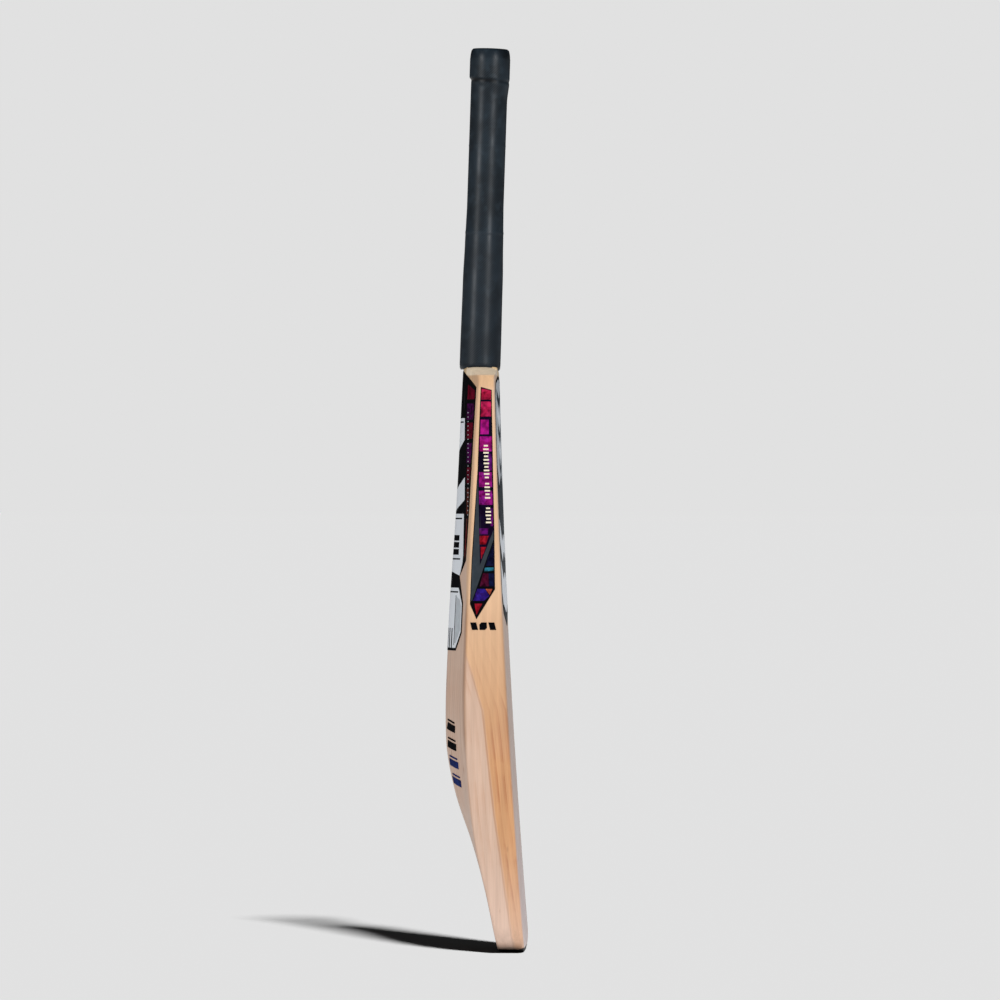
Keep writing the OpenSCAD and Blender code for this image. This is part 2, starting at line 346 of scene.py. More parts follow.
# %% Fibres group
fibres, start, end = new_group(
    "fibres",
    [("Fineness", FLOAT, 900.0)],
    [("Fibre", FLOAT), ("Streak", FLOAT)],
)
place = add(fibres, "ShaderNodeTexCoord")
drawn_out = add(fibres, "ShaderNodeMapping", {"Vector": place.outputs["Object"],
                                              "Scale": (1, 1, 0.025)})
fine = add(fibres, "ShaderNodeTexNoise",
           {"Vector": drawn_out.outputs["Vector"], "Scale": start.outputs["Fineness"],
            "Detail": 3.0, "Roughness": 0.6})
broad = add(fibres, "ShaderNodeTexNoise",
            {"Vector": drawn_out.outputs["Vector"],
             "Scale": calc(fibres, "MULTIPLY", start.outputs["Fineness"], 0.22), "Detail": 2.0})
fibres.links.new(fine.outputs["Fac"], end.inputs["Fibre"])
fibres.links.new(broad.outputs["Fac"], end.inputs["Streak"])
print("group", fibres.name)

# %% [markdown]
# Handling leaves the same marks on wood, vinyl and rubber: broad uneven patches where hands and
# cloths have rubbed, and a few fine scratches. One group makes both as masks.

# %% Handling group
handling, start, end = new_group(
    "handling marks",
    [("Patch size", FLOAT, 30.0), ("Scratch size", FLOAT, 260.0)],
    [("Patches", FLOAT), ("Scratches", FLOAT)],
)
place = add(handling, "ShaderNodeTexCoord")
patch = add(handling, "ShaderNodeTexNoise",
            {"Vector": place.outputs["Object"], "Scale": start.outputs["Patch size"],
             "Detail": 4.0, "Roughness": 0.55})
tilted = add(handling, "ShaderNodeMapping",
             {"Vector": place.outputs["Object"], "Rotation": (0.5, 0.35, 0.0),
              "Scale": (1, 1, 0.05)})
scratch = add(handling, "ShaderNodeTexNoise",
              {"Vector": tilted.outputs["Vector"], "Scale": start.outputs["Scratch size"],
               "Detail": 2.0, "Roughness": 0.4})
handling.links.new(patch.outputs["Fac"], end.inputs["Patches"])
handling.links.new(ease(handling, scratch.outputs["Fac"], 0.68, 0.76), end.inputs["Scratches"])
print("group", handling.name)

# %% [markdown]
# ## The blade's form
# A blade is shaped by its depth along its length. It is thickest a third of the way up, where the
# ball is meant to be hit, and thin at the toe and the shoulders. Two lists give that depth at the
# spine and at the edges, and a smooth curve runs through them. The same functions place the
# blade's skin, the stickers and the guard, so that everything lies flush.

# %% Sizes of the blade
blade_length = 550
half_width = 54
spine_depth = 62
edge_depth = 41
shoulder_start = 531
shoulder_height = 19
crease = shoulder_start + 0.55 * shoulder_height
crease_inset = 3.5
toe_rise = 26
toe_flat = 12
corner = 3
neck_round = 12
neck = 16.3
face_lean = math.tan(math.radians(3.06))
face_bow = 4
face_swell = 1.2
ridge_radius = 9
slope_hollow = 0.22
handle_inset = 15.6

spine_shape = [(0, 0.42), (0.09, 0.54), (0.18, 0.7), (0.27, 0.91), (0.36, 1),
               (0.55, 0.87), (0.77, 0.66), (1, 0.5)]
edge_shape = [(0, 0.61), (0.09, 0.757), (0.18, 0.937), (0.27, 1), (0.42, 0.976),
              (0.6, 0.78), (0.8, 0.546), (1, 0.322)]
print("blade", blade_length, "by", 2 * half_width, "mm")


# %% Depth along the blade
def follow(shape, share):
    """A smooth curve through the stations of a shape."""
    last = len(shape) - 1
    i = max(k for k in range(last) if k == 0 or share >= shape[k][0])

    def slope(k):
        """How steeply the shape runs through one station."""
        a, b = shape[max(k - 1, 0)], shape[min(k + 1, last)]
        return (b[1] - a[1]) / (b[0] - a[0])

    h = shape[i + 1][0] - shape[i][0]
    u = (share - shape[i][0]) / h
    value = (1 + 2 * u) * (1 - u) ** 2 * shape[i][1] + u * u * (3 - 2 * u) * shape[i + 1][1]
    return value + u * (1 - u) ** 2 * h * slope(i) + u * u * (u - 1) * h * slope(i + 1)


def ease_in(z, depth, height):
    """A quarter ellipse's drop, from its whole depth at the toe's underside."""
    return depth * (1 - math.sqrt(1 - (1 - z / height) ** 2)) if z < height else 0


def spine_at(z):
    """Depth of the blade at its spine."""
    return spine_depth * follow(spine_shape, z / blade_length)


def edge_at(z):
    """Depth of the blade at its edges."""
    return edge_depth * follow(edge_shape, z / blade_length)


print("deepest at the spine:", round(max(spine_at(z) for z in range(blade_length)), 1), "mm")


# %% Face, outline and back
def face_at(z):
    """Y of the face's corner: a straight lean, bowed back half-way up."""
    t = z / shoulder_start
    return -edge_at(0) / 2 + z * face_lean + 4 * face_bow * t * (1 - t)


def width_at(z):
    """Half the blade's width: quarter ellipses at the toe, creased shoulders at the top."""
    if z < toe_rise:
        return toe_flat + (half_width - toe_flat) * math.sqrt(1 - (1 - z / toe_rise) ** 2)
    if z > crease:
        share = (blade_length - z) / (blade_length - crease)
        return neck + (half_width - crease_inset - neck) * share
    if z > shoulder_start:
        return half_width - crease_inset * ((z - shoulder_start) / (crease - shoulder_start)) ** 2
    return half_width


def corner_at(z):
    """Radius of the long corners, which grow over the shoulders towards the round handle."""
    share = max(0, z - shoulder_start) / shoulder_height
    return corner + (neck_round - corner) * share ** 2


def ridge_fall(x):
    """How far a rounded ridge has fallen at a distance from the middle."""
    return math.sqrt(x * x + ridge_radius ** 2) - ridge_radius


def back_at(x, z):
    """Y of the back: a rounded ridge that falls through a slightly hollow slope."""
    q = 1 - ridge_fall(x) / ridge_fall(half_width)
    rise = (spine_at(z) - edge_at(z)) * q * (1 - slope_hollow * (1 - q))
    return face_at(z) + edge_at(z) + rise - ease_in(z, 2, 2)


def back_slope(x, z):
    """How steeply the back falls towards the edge."""
    return back_at(x - 0.5, z) - back_at(x + 0.5, z)


def front_at(x, z):
    """Y of the face, a little proud in its middle."""
    return face_at(z) - face_swell * (1 - (x / half_width) ** 2) + ease_in(z, 4, 20)


handle_y = face_at(blade_length) + handle_inset
print("handle axis at Y", round(handle_y, 2))


# %% [markdown]
# ## The blade
# A blade's section is easy to describe at any height, so the blade is grown from a ring of points.
# The ring is a circle operator, each next ring is extruded from the last, and its points are moved
# on to the section at that height. The caps are filled, and the V for the handle's splice and the
# space for the toe guard are then cut out with two simple blocks, as the real ones are sawn.

# %% Sections of the blade
def half_section(z):
    """Points from the middle of the face round one edge to the spine."""
    r = corner_at(z)
    centre = width_at(z) - r
    front_y = front_at(centre, z) + r
    beta = math.atan(back_slope(centre, z))
    back_y = back_at(centre, z) - r / math.cos(beta)
    last_x = centre + r * math.sin(beta)
    points = [(k / 9 * centre, front_at(k / 9 * centre, z)) for k in range(9)]
    for k in range(7):
        a = math.radians(-90 + 15 * k)
        points.append((centre + r * math.cos(a), front_y + r * math.sin(a)))
    for k in range(7):
        a = k / 6 * (math.pi / 2 - beta)
        points.append((centre + r * math.cos(a), back_y + r * math.sin(a)))
    for k in range(17, -1, -1):
        x = last_x * (k / 18) ** 1.15
        points.append((x, back_at(x, z)))
    return points


def section(z):
    """The whole ring of points at one height."""
    half = half_section(z)
    return [(x, y) for x, y in half] + [(-x, y) for x, y in half[-2:0:-1]]


print("points round the blade:", len(section(300)))

# %% Grow the blade ring by ring
heights = [toe_rise * (1 - math.cos(math.radians(a))) for a in range(0, 90, 5)]
heights += [toe_rise + 3.25 * k for k in range(156)]
heights += [shoulder_start + (crease - shoulder_start) * k / 8 for k in range(9)]
heights += [crease + (blade_length - crease) * k / 8 for k in range(9)]
heights = sorted(set(round(z, 3) for z in heights))


def crown_drop(y, z):
    """How far the shoulders' top falls away towards the face and the back."""
    share = max(0, z - crease) / (blade_length - crease)
    return 1.9 * share ** 2 * min(1, ((y - handle_y) / 16) ** 2)


def grow_blade(low, high):
    """The blade's whole form between two heights, as a closed mesh."""
    bm = bmesh.new()
    levels = [z for z in heights if low <= z <= high]
    count = len(section(levels[0]))
    ring = bmesh.ops.create_circle(bm, segments=count, radius=1, cap_ends=False)["verts"]
    ring.sort(key=lambda v: math.atan2(v.co.y, v.co.x))
    edges = list(bm.edges)
    for vert, (x, y) in zip(ring, section(levels[0])):
        vert.co = (x, y, levels[0])
    bottom = list(edges)
    for z in levels[1:]:
        made = bmesh.ops.extrude_edge_only(bm, edges=edges)["geom"]
        edges = [g for g in made if isinstance(g, bmesh.types.BMEdge)]
        above = {}
        for g in made:
            if isinstance(g, bmesh.types.BMVert):
                below = [e.other_vert(g) for e in g.link_edges if e not in edges]
                above[below[0]] = g
        ring = [above[v] for v in ring]
        for vert, (x, y) in zip(ring, section(z)):
            vert.co = (x, y, z - crown_drop(y, z))
    bmesh.ops.holes_fill(bm, edges=bottom, sides=0)
    bmesh.ops.holes_fill(bm, edges=edges, sides=0)
    bmesh.ops.recalc_face_normals(bm, faces=bm.faces)
    return bm


whole = grow_blade(0, blade_length)
print("blade form:", len(whole.faces), "faces")


# %% [markdown]
# A Boolean needs closed meshes. Both cutters are prisms: a face with the outline of the cut is
# extruded right through the blade, one for the V of the splice, one for the space under the toe.

# %% Cutting with a Boolean
def from_outline(outline, axis, low, high):
    """A prism with the outline as its section, carried along X or Y between two places."""
    bm = bmesh.new()
    verts = [bm.verts.new((low, a, b) if axis == "x" else (a, low, b)) for a, b in outline]
    face = bm.faces.new(verts)
    made = bmesh.ops.extrude_face_region(bm, geom=[face])["geom"]
    shift = Vector((high - low, 0, 0)) if axis == "x" else Vector((0, high - low, 0))
    bmesh.ops.translate(bm, vec=shift, verts=[g for g in made if isinstance(g, bmesh.types.BMVert)])
    bmesh.ops.recalc_face_normals(bm, faces=bm.faces)
    return bm


def boolean(bm, cutter, operation):
    """Cuts one closed mesh with another, and gives back the result."""
    objects = []
    for name, source in (("stock", bm), ("cutter", cutter)):
        mesh = bpy.data.meshes.new(name)
        source.to_mesh(mesh)
        source.free()
        ob = bpy.data.objects.new(name, mesh)
        scene.collection.objects.link(ob)
        objects.append(ob)
    modifier = objects[0].modifiers.new("cut", "BOOLEAN")
    modifier.object = objects[1]
    modifier.operation = operation
    modifier.solver = "EXACT"
    bpy.context.view_layer.update()
    result = bmesh.new()
    result.from_object(objects[0], bpy.context.evaluated_depsgraph_get())
    for ob in objects:
        bpy.data.objects.remove(ob)
    return result


splice_depth = 120
root = blade_length - splice_depth
over = blade_length + 1
splice = [(-14.5, over), (-14.5, blade_length), (-1.5, root), (1.5, root), (14.5, blade_length),
          (14.5, over)]
guard_face = face_at(0)
under_toe = [(guard_face - 5, -5), (100, -5), (100, 2.5), (guard_face + 7, 2.5),
             (guard_face - 1, 5.5)]
blade_mesh = boolean(whole, from_outline(splice, "y", -100, 100), "DIFFERENCE")
blade_mesh = boolean(blade_mesh, from_outline(under_toe, "x", -100, 100), "DIFFERENCE")
print("blade after the cuts:", len(blade_mesh.faces), "faces")

# %% [markdown]
# Sanding rounds the long corners. They are painted darker and a little redder: painted shade where
# the rounded corners turn away from the light, with some burnished wood that takes more oil. The
# strength of that painted shade is stored on the points, where the material can read it, and beside
# it how far each point's surface is turned along Y.

# %% Mark the corners that get painted shade
blade_mesh.normal_update()
painted_corner_shade_layer = blade_mesh.verts.layers.float.new("corner")
turned = blade_mesh.verts.layers.float.new("turned")
for vert in blade_mesh.verts:
    vert[turned] = vert.normal.y
    x, y, z = vert.co
    z = min(max(z, 0), blade_length)
    w = width_at(z)
    front_gap = math.hypot(abs(x) - w, y - front_at(w - corner, z))
    back_gap = math.hypot(abs(x) - w + 3, y - back_at(w - 3, z))
    # How strong the painted shade on the corners is, up the blade.
    mark_strength = min(1, max(0, z / 40 - 4.2), max(0.18, 9.2 - z / 38))
    vert[painted_corner_shade_layer] = mark_strength * max(0.0, 0.72 - front_gap / 8, 1.25 - back_gap / 4.4)
print("corner marks stored on", len(blade_mesh.verts), "points")

# %% [markdown]
# ## Willow
# The blade is split from a willow trunk, so its growth rings are nearly straight lines from toe to
# shoulder, and they cross the edge at about 45 degrees. One edge reaches the tree's red heartwood:
# it is orange with clear rings, while the rest is pale sapwood. The boundary climbs the edge in
# three straight runs, and the distance from it gives both the colour and the rings. The edges
# show the rings straight on. On the two flat sides, where the surface points along Y, they are
# also spread across the blade. The face is painted greyer, as a painted reflection of the studio.

# %% Willow: the boundary of the heartwood
willow, tree, shader = new_finish("willow", 0.42, coat=0.06, coat_roughness=0.35)
place = add(tree, "ShaderNodeTexCoord").outputs["Object"]
axes = add(tree, "ShaderNodeSeparateXYZ", {"Vector": place})
x, y, z = axes.outputs["X"], axes.outputs["Y"], axes.outputs["Z"]

low_line = calc(tree, "MULTIPLY_ADD", z, 0.1435, -0.003)
mid_line = calc(tree, "MULTIPLY_ADD", z, 0.112, 0.0011)
top_line = calc(tree, "MULTIPLY_ADD", z, 0.3, -0.0418)
boundary = calc(tree, "MAXIMUM", calc(tree, "MINIMUM", low_line, mid_line), top_line)

outward = add(tree, "ShaderNodeAttribute", attribute_name="turned").outputs["Fac"]
flat_side = ease(tree, calc(tree, "ABSOLUTE", outward), 0.4, 0.9)
far_side = ease(tree, x, -0.005, 0.005)
inward = calc(tree, "MULTIPLY", calc(tree, "ADD", x, 0.054),
              calc(tree, "MAXIMUM", flat_side, far_side))
beyond = calc(tree, "SUBTRACT", calc(tree, "SUBTRACT", boundary, y), inward)
print("the boundary uses", len(tree.nodes), "nodes")

# %% Willow: rings, sapwood and heartwood
ring = use(tree, rings, {"Across": beyond, "Spacing": 0.0071, "Wander": 0.0024, "Line": 3.0})
fine_ring = use(tree, rings, {"Across": beyond, "Spacing": 0.0031, "Wander": 0.002, "Line": 2.5})
fibre = use(tree, fibres, {"Fineness": 850.0})
marks = use(tree, handling, {"Patch size": 22.0, "Scratch size": 240.0})

wavy = calc(tree, "MULTIPLY_ADD", inward, -2.0, beyond)
wavy = calc(tree, "MULTIPLY_ADD", fibre.outputs["Streak"], 0.0024, wavy)
heart = ease(tree, wavy, 0.0002, 0.0026)

uneven = ease(tree, marks.outputs["Patches"], 0.38, 0.62, 0.3, 1.25)
late = calc(tree, "MULTIPLY_ADD", fine_ring.outputs["Late wood"], 0.3, ring.outputs["Late wood"])
late = calc(tree, "MULTIPLY", late, uneven)
late = calc(tree, "MULTIPLY", late, ease(tree, z, 0.24, 0.34, 1.0, 0.3))
sap = mix(tree, calc(tree, "MULTIPLY", late, 0.5), paint(204, 173, 152), paint(182, 140, 114))
red = mix(tree, calc(tree, "MINIMUM", late, 1.0), paint(201, 150, 106), paint(170, 108, 66))
high = calc(tree, "MULTIPLY", ease(tree, z, 0.16, 0.34), 0.85)
red = mix(tree, high, red, paint(220, 182, 146))
wood = mix(tree, heart, sap, red)

rim_gap = calc(tree, "ABSOLUTE", calc(tree, "SUBTRACT", wavy, 0.0006))
rim_line = calc(tree, "MULTIPLY", ease(tree, rim_gap, 0.0012, 0.0003), ease(tree, z, 0.3, 0.2))
wood = mix(tree, calc(tree, "MULTIPLY", rim_line, 0.55), wood, paint(172, 122, 84))
print("with rings", len(tree.nodes), "nodes")

# %% [markdown]
# The wood isn't one colour along the blade. The toe is painted paler: painted light bounced up
# from the floor, on sanded end grain that is paler too. The shoulders' top is painted paler as
# painted top light on paler end grain, the rounded facet under the grip is painted more golden as
# its painted shading, and the face is painted greyer and bluer towards the toe as a painted
# reflection of the pale studio.

# %% Willow: toe, shoulders and face
# Painted light: the toe is painted paler, as light bounced up from the floor on sanded end grain.
painted_toe_bounce = ease(tree, z, 0.12, 0.0)
wood = mix(tree, calc(tree, "MULTIPLY", painted_toe_bounce, 0.4), wood, paint(228, 198, 182))
# Painted shading: the rounded facet just under the grip is painted more golden.
facet = calc(tree, "MULTIPLY", ease(tree, z, 0.5285, 0.5315), ease(tree, z, 0.5425, 0.5412))
wood = mix(tree, calc(tree, "MULTIPLY", facet, 0.75), wood, paint(208, 168, 126))
# Painted top light: the shoulders' top is painted a pale cream, over end grain that is paler too.
crown = ease(tree, z, 0.5407, 0.5425)
wood = mix(tree, calc(tree, "MULTIPLY", crown, 0.85), wood, paint(240, 222, 194))
# Painted reflection: the face is painted greyer, and bluer towards the toe, as the pale studio's
# sheen on it.
face_sheen_share = calc(tree, "MULTIPLY", ease(tree, outward, -0.6, -0.95), 0.42)
painted_face_reflection = mix(tree, ease(tree, z, 0.2, 0.04), paint(176, 167, 166), paint(205, 202, 214))
wood = mix(tree, face_sheen_share, wood, painted_face_reflection)
print("with its regions", len(tree.nodes), "nodes")

# %% Willow: fibres, blotches, painted shade on the corners and pin knots
wood = shade(tree, wood, ease(tree, fibre.outputs["Streak"], 0.3, 0.7, 0.94, 1.05))
wood = shade(tree, wood, ease(tree, fibre.outputs["Fibre"], 0.35, 0.65, 0.965, 1.03))
blotch = calc(tree, "MULTIPLY", ease(tree, marks.outputs["Patches"], 0.45, 0.75), 0.22)
wood = mix(tree, blotch, wood, paint(204, 160, 132))

# Painted shade: the rounded long corners are painted darker and redder, along with burnished wood.
painted_corner_shade_mask = add(tree, "ShaderNodeAttribute", attribute_name="corner").outputs["Fac"]
painted_corner_shade_share = calc(tree, "MULTIPLY", ease(tree, painted_corner_shade_mask, 0.1, 0.8), 0.6)
wood = mix(tree, painted_corner_shade_share, wood, paint(160, 115, 82))

speck = add(tree, "ShaderNodeTexVoronoi",
            {"Vector": add(tree, "ShaderNodeMapping",
                           {"Vector": place, "Scale": (1, 1, 0.35)}).outputs["Vector"],
             "Scale": 42.0, "Randomness": 1.0})
dot = calc(tree, "MULTIPLY", ease(tree, speck.outputs["Distance"], 0.075, 0.03), 0.55)
wood = mix(tree, dot, wood, paint(150, 104, 72))
tree.links.new(wood, shader.inputs["Base Color"])

rough = calc(tree, "MULTIPLY_ADD", marks.outputs["Patches"], 0.22, 0.32)
tree.links.new(calc(tree, "MULTIPLY_ADD", marks.outputs["Scratches"], 0.1, rough),
               shader.inputs["Roughness"])
height = calc(tree, "MULTIPLY_ADD", late, -0.4, fibre.outputs["Fibre"])
relief(tree, shader, height, 0.25, 0.00012)

finish_piece("blade_willow", blade_mesh, willow, ["blade"])

# %% [markdown]
# ## Toe guard
# A strip of hard black rubber is glued under the toe so that it doesn't soak up water. It is the
# bottom slice of the same form, so it is made by keeping what the blade lost.

# %% Guard
guard_rubber, tree, shader = new_finish("guard rubber", 0.55, specular=0.4)
marks = use(tree, handling, {"Patch size": 160.0, "Scratch size": 500.0})
tone = mix(tree, ease(tree, marks.outputs["Patches"], 0.35, 0.7), paint(20, 20, 22),
           paint(46, 45, 44))
tone = mix(tree, calc(tree, "MULTIPLY", marks.outputs["Scratches"], 0.5), tone, paint(92, 90, 86))
tree.links.new(tone, shader.inputs["Base Color"])
dull(tree, shader, marks.outputs["Patches"], 0.45, 0.7)
relief(tree, shader, marks.outputs["Patches"], 0.3, 0.0003)

guard_mesh = boolean(grow_blade(0, 30), from_outline(under_toe, "x", -100, 100), "INTERSECT")
finish_piece("toe_guard_strip", guard_mesh, guard_rubber, ["toe_guard"])

# %% [markdown]
# ## Cane, springs and twine
# The handle is laminated from twelve laths of cane with two sheets of rubber between them, and
# bound with waxed twine. These pieces keep their shapes from the frame and get their own finishes.
# Cane is a bundle of tubes, so its grain is fine and straight, with dark pores on a cut end.

# %% Cane
cane, tree, shader = new_finish("cane", 0.5)
place = add(tree, "ShaderNodeTexCoord").outputs["Object"]
fibre = use(tree, fibres, {"Fineness": 1400.0})
marks = use(tree, handling, {"Patch size": 40.0, "Scratch size": 300.0})
pores = add(tree, "ShaderNodeTexVoronoi",
            {"Vector": add(tree, "ShaderNodeMapping",
                           {"Vector": place, "Scale": (1, 1, 0.01)}).outputs["Vector"],
             "Scale": 1500.0})
tone = mix(tree, fibre.outputs["Streak"], paint(196, 168, 128), paint(214, 190, 152))
tone = mix(tree, calc(tree, "MULTIPLY", ease(tree, pores.outputs["Distance"], 0.3, 0.1), 0.5),
           tone, paint(142, 104, 62))
tone = mix(tree, calc(tree, "MULTIPLY", marks.outputs["Patches"], 0.2), tone, paint(184, 142, 92))
tree.links.new(tone, shader.inputs["Base Color"])
dull(tree, shader, fibre.outputs["Fibre"], 0.42, 0.62)
relief(tree, shader, fibre.outputs["Fibre"], 0.3, 0.0001)


def refinish(names, material):
    """Gives carried-over pieces a new material in their own slots."""
    for name in names:
        mesh = nodes[name].data
        mesh.materials.clear()
        mesh.materials.append(material)
    print(material.name, "on", len(names), "pieces")


refinish([n for n in nodes if n.startswith("cane_")], cane)

# %% Spring rubber
spring, tree, shader = new_finish("spring rubber", 0.7, specular=0.3)
marks = use(tree, handling, {"Patch size": 220.0, "Scratch size": 400.0})
tone = mix(tree, marks.outputs["Patches"], paint(44, 42, 40), paint(70, 67, 63))
tree.links.new(tone, shader.inputs["Base Color"])
dull(tree, shader, marks.outputs["Patches"], 0.6, 0.85)
refinish(["spring_rubber_front", "spring_rubber_back"], spring)

# %% Waxed twine
twine_pitch = 0.0011
twine, tree, shader = new_finish("waxed twine", 0.6)
place = add(tree, "ShaderNodeTexCoord").outputs["Object"]
axes = add(tree, "ShaderNodeSeparateXYZ", {"Vector": place})
along = calc(tree, "MULTIPLY", axes.outputs["Z"], 2 * math.pi / twine_pitch)
turns = calc(tree, "MULTIPLY_ADD", calc(tree, "SINE", along), 0.5, 0.5)
marks = use(tree, handling, {"Patch size": 60.0, "Scratch size": 900.0})
# Painted shade: the grooves between the turns are painted darker and the crests paler.
tone = mix(tree, turns, paint(150, 136, 108), paint(224, 212, 184))
tone = mix(tree, calc(tree, "MULTIPLY", marks.outputs["Patches"], 0.3), tone, paint(176, 150, 108))
tree.links.new(tone, shader.inputs["Base Color"])
tree.links.new(ease(tree, turns, 0.0, 1.0, 0.75, 0.5), shader.inputs["Roughness"])
relief(tree, shader, turns, 0.8, 0.0004)
refinish(["handle_binding"], twine)

# %% [markdown]
# ## The grip
# The grip is a rubber sleeve, rolled on to the handle. Its wall is turned: a profile is spun once
# round the handle's axis, and the points are then moved in or out to model the soft rubber.
# The collar is shorter at the back than at the front, the lower rim is arched, and a fine net of
# raised diamonds covers the outside. The profile has one point every 1.2 mm, so that every second
# point can be lifted to make the diamonds.

# %% Grip profile
grip_steps = 96
row_gap = 1.2
grip_foot, grip_top = -2.6, 299.2
net_low, net_high = 2, 291
collar_foot = 273
handle_lean = math.radians(1.9)
handle_turn = Euler((handle_lean, 0, 0)).to_matrix().to_4x4()
on_handle = Matrix.Translation((0, handle_y, blade_length)) @ handle_turn

wall = [(19.1, 0), (19.1, 12), (18.7, 80), (17.9, 118), (17.1, 150), (17.1, 300)]


def wall_radius(h):
    """Radius of the sleeve's outside at a distance along the handle, without its collar."""
    if h <= 0:
        return 19.1 - 0.16 * h * h
    for (r0, h0), (r1, h1) in zip(wall, wall[1:]):
        if h <= h1:
            u = (h - h0) / (h1 - h0)
            u = u * u * (3 - 2 * u) if h0 < 100 else u
            return r0 + (r1 - r0) * u
    return 17.1


def collar_rise(h, front):
    """How far the collar stands out; front is 1 on the hitting side and 0 at the back."""
    top = max(0.0, (h - net_high) / 9)
    foot = collar_foot - 1.5 * front
    length = 5 + 17 * front
    u = min(1.0, max(0.0, (h - foot + length) / length))
    return 1.7 * u * u * (3 - 2 * u) - 1.6 * top ** 2


rows = [grip_foot + row_gap * k for k in range(int((grip_top - grip_foot) / row_gap) + 1)]
lip = [(16.4, 299.85), (14.5, 299.98), (12.9, 299.95), (12.75, 299.4), (12.9, 298.85)]
inner = [(15.3, 298.85), (17.25, 0.7), (17.3, grip_foot)]
print("rows up the grip:", len(rows))

# %% Spin the profile and model the rubber
grip_mesh = bmesh.new()
chain = [grip_mesh.verts.new((wall_radius(h), 0, h)) for h in rows]
chain += [grip_mesh.verts.new((r, 0, h)) for r, h in lip + inner]
for a, b in zip(chain, chain[1:] + chain[:1]):
    grip_mesh.edges.new((a, b))
bmesh.ops.spin(grip_mesh, geom=grip_mesh.verts[:] + grip_mesh.edges[:], cent=(0, 0, 0),
               axis=(0, 0, 1), angle=2 * math.pi, steps=grip_steps, use_merge=True)
bmesh.ops.remove_doubles(grip_mesh, verts=grip_mesh.verts, dist=0.001)

raised = grip_mesh.verts.layers.float.new("raised")
for vert in grip_mesh.verts:
    x, y, h = vert.co
    radius = math.hypot(x, y)
    angle = math.atan2(y, x)
    front = 0.5 - 0.5 * math.sin(angle)
    if radius <= wall_radius(h) - 0.2 or h > grip_top + 0.1:
        continue
    step = round(angle / (2 * math.pi) * grip_steps)
    row = round((h - grip_foot) / row_gap)
    lift = collar_rise(h, front)
    groove = math.exp(-((h - (collar_foot - 2.5 - 1.5 * front)) / 1.3) ** 2)
    bands = math.exp(-((h - 126.5) / 1.2) ** 2) + 0.6 * math.exp(-((h - 208.5) / 1.2) ** 2)
    lift += 0.28 * bands - 0.75 * groove * (1 - 0.5 * front)
    netted = net_low < h < net_high
    tip = 1 if netted and (step + row) % 2 else 0
    if netted:
        lift += (0.36 * tip - 0.16) * (1 - groove)
    # Painted highlight on the diamond tips and ridges, painted shade in the groove under the
    # collar.
    vert[raised] = (0.75 * tip + 0.25 * bands) * (1 - groove) - groove * (1 - 0.6 * front)
    new_radius = radius + lift
    vert.co.x = new_radius * math.cos(angle)
    vert.co.y = new_radius * math.sin(angle)
print("grip points:", len(grip_mesh.verts))

# %% [markdown]
# The sleeve's mouth isn't cut straight: seen from the edge it rises a little in the middle,
# where the rubber rides up over the shoulders. The lowest 12 mm are sheared to follow that.

# %% Arch the lower rim and put the grip on the handle
sheared = 12
for vert in grip_mesh.verts:
    if vert.co.z < sheared:
        share = 1 - max(0.0, vert.co.z) / sheared
        angle = math.atan2(vert.co.y, vert.co.x)
        side = math.cos(angle) ** 2
        vert.co.z += share * (2.7 * side - 0.4)
bmesh.ops.recalc_face_normals(grip_mesh, faces=grip_mesh.faces)
bmesh.ops.transform(grip_mesh, matrix=on_handle, verts=grip_mesh.verts)
print("lowest point of the grip", round(min(v.co.z for v in grip_mesh.verts), 2), "mm")

# %% [markdown]
# The rubber is a blue-black that has been handled: slightly greyer and shinier in patches. The
# groove under the collar is painted near black as painted shade, and the tips of the diamonds and
# the two low ridges are painted a little paler as painted highlight.

# %% Grip rubber
grip_rubber, tree, shader = new_finish("grip rubber", 0.4, specular=0.12)
place = add(tree, "ShaderNodeTexCoord").outputs["Object"]
marks = use(tree, handling, {"Patch size": 34.0, "Scratch size": 420.0})
broad = add(tree, "ShaderNodeTexNoise", {"Vector": place, "Scale": 110.0, "Detail": 3.0})
axes = add(tree, "ShaderNodeSeparateXYZ", {"Vector": place})
tone = mix(tree, ease(tree, marks.outputs["Patches"], 0.38, 0.62), paint(8, 12, 16),
           paint(21, 28, 34))
tone = mix(tree, calc(tree, "MULTIPLY", ease(tree, broad.outputs["Fac"], 0.5, 0.72), 0.4), tone,
           paint(36, 45, 52))
lower = ease(tree, axes.outputs["Z"], 0.6775, 0.6755)
tone = mix(tree, calc(tree, "MULTIPLY", lower, 0.3), tone, paint(22, 25, 30))
# Painted highlight on the diamond tips, painted shade in the groove under the collar.
painted_net_light_and_shade = add(tree, "ShaderNodeAttribute", attribute_name="raised").outputs["Fac"]
tone = mix(tree, calc(tree, "MULTIPLY", ease(tree, painted_net_light_and_shade, 0.1, 0.75), 0.4), tone, paint(42, 51, 58))
tone = mix(tree, ease(tree, painted_net_light_and_shade, -0.15, -0.8), tone, paint(5, 6, 8))
tree.links.new(tone, shader.inputs["Base Color"])
dull(tree, shader, marks.outputs["Patches"], 0.46, 0.32)
pebble = add(tree, "ShaderNodeTexNoise", {"Vector": place, "Scale": 2400.0, "Detail": 2.0})
relief(tree, shader, pebble.outputs["Fac"], 0.35, 0.00012)

grip = finish_piece("grip_sleeve", grip_mesh, grip_rubber, ["grip"], sharp=60)

# %% [markdown]
# ## Stickers
# A sticker is one sheet of printed vinyl. It starts flat, as it comes off the printer: a grid is
# cut along its outline, and each patch of ink is stamped into it, which cuts the grid along the
# patch's outline and gives the faces inside that ink. The sheet then gets its thickness and is
# laid on the blade by moving every point to the blade's surface. The inks go into a colour
# attribute. Its alpha says how mottled the print is.

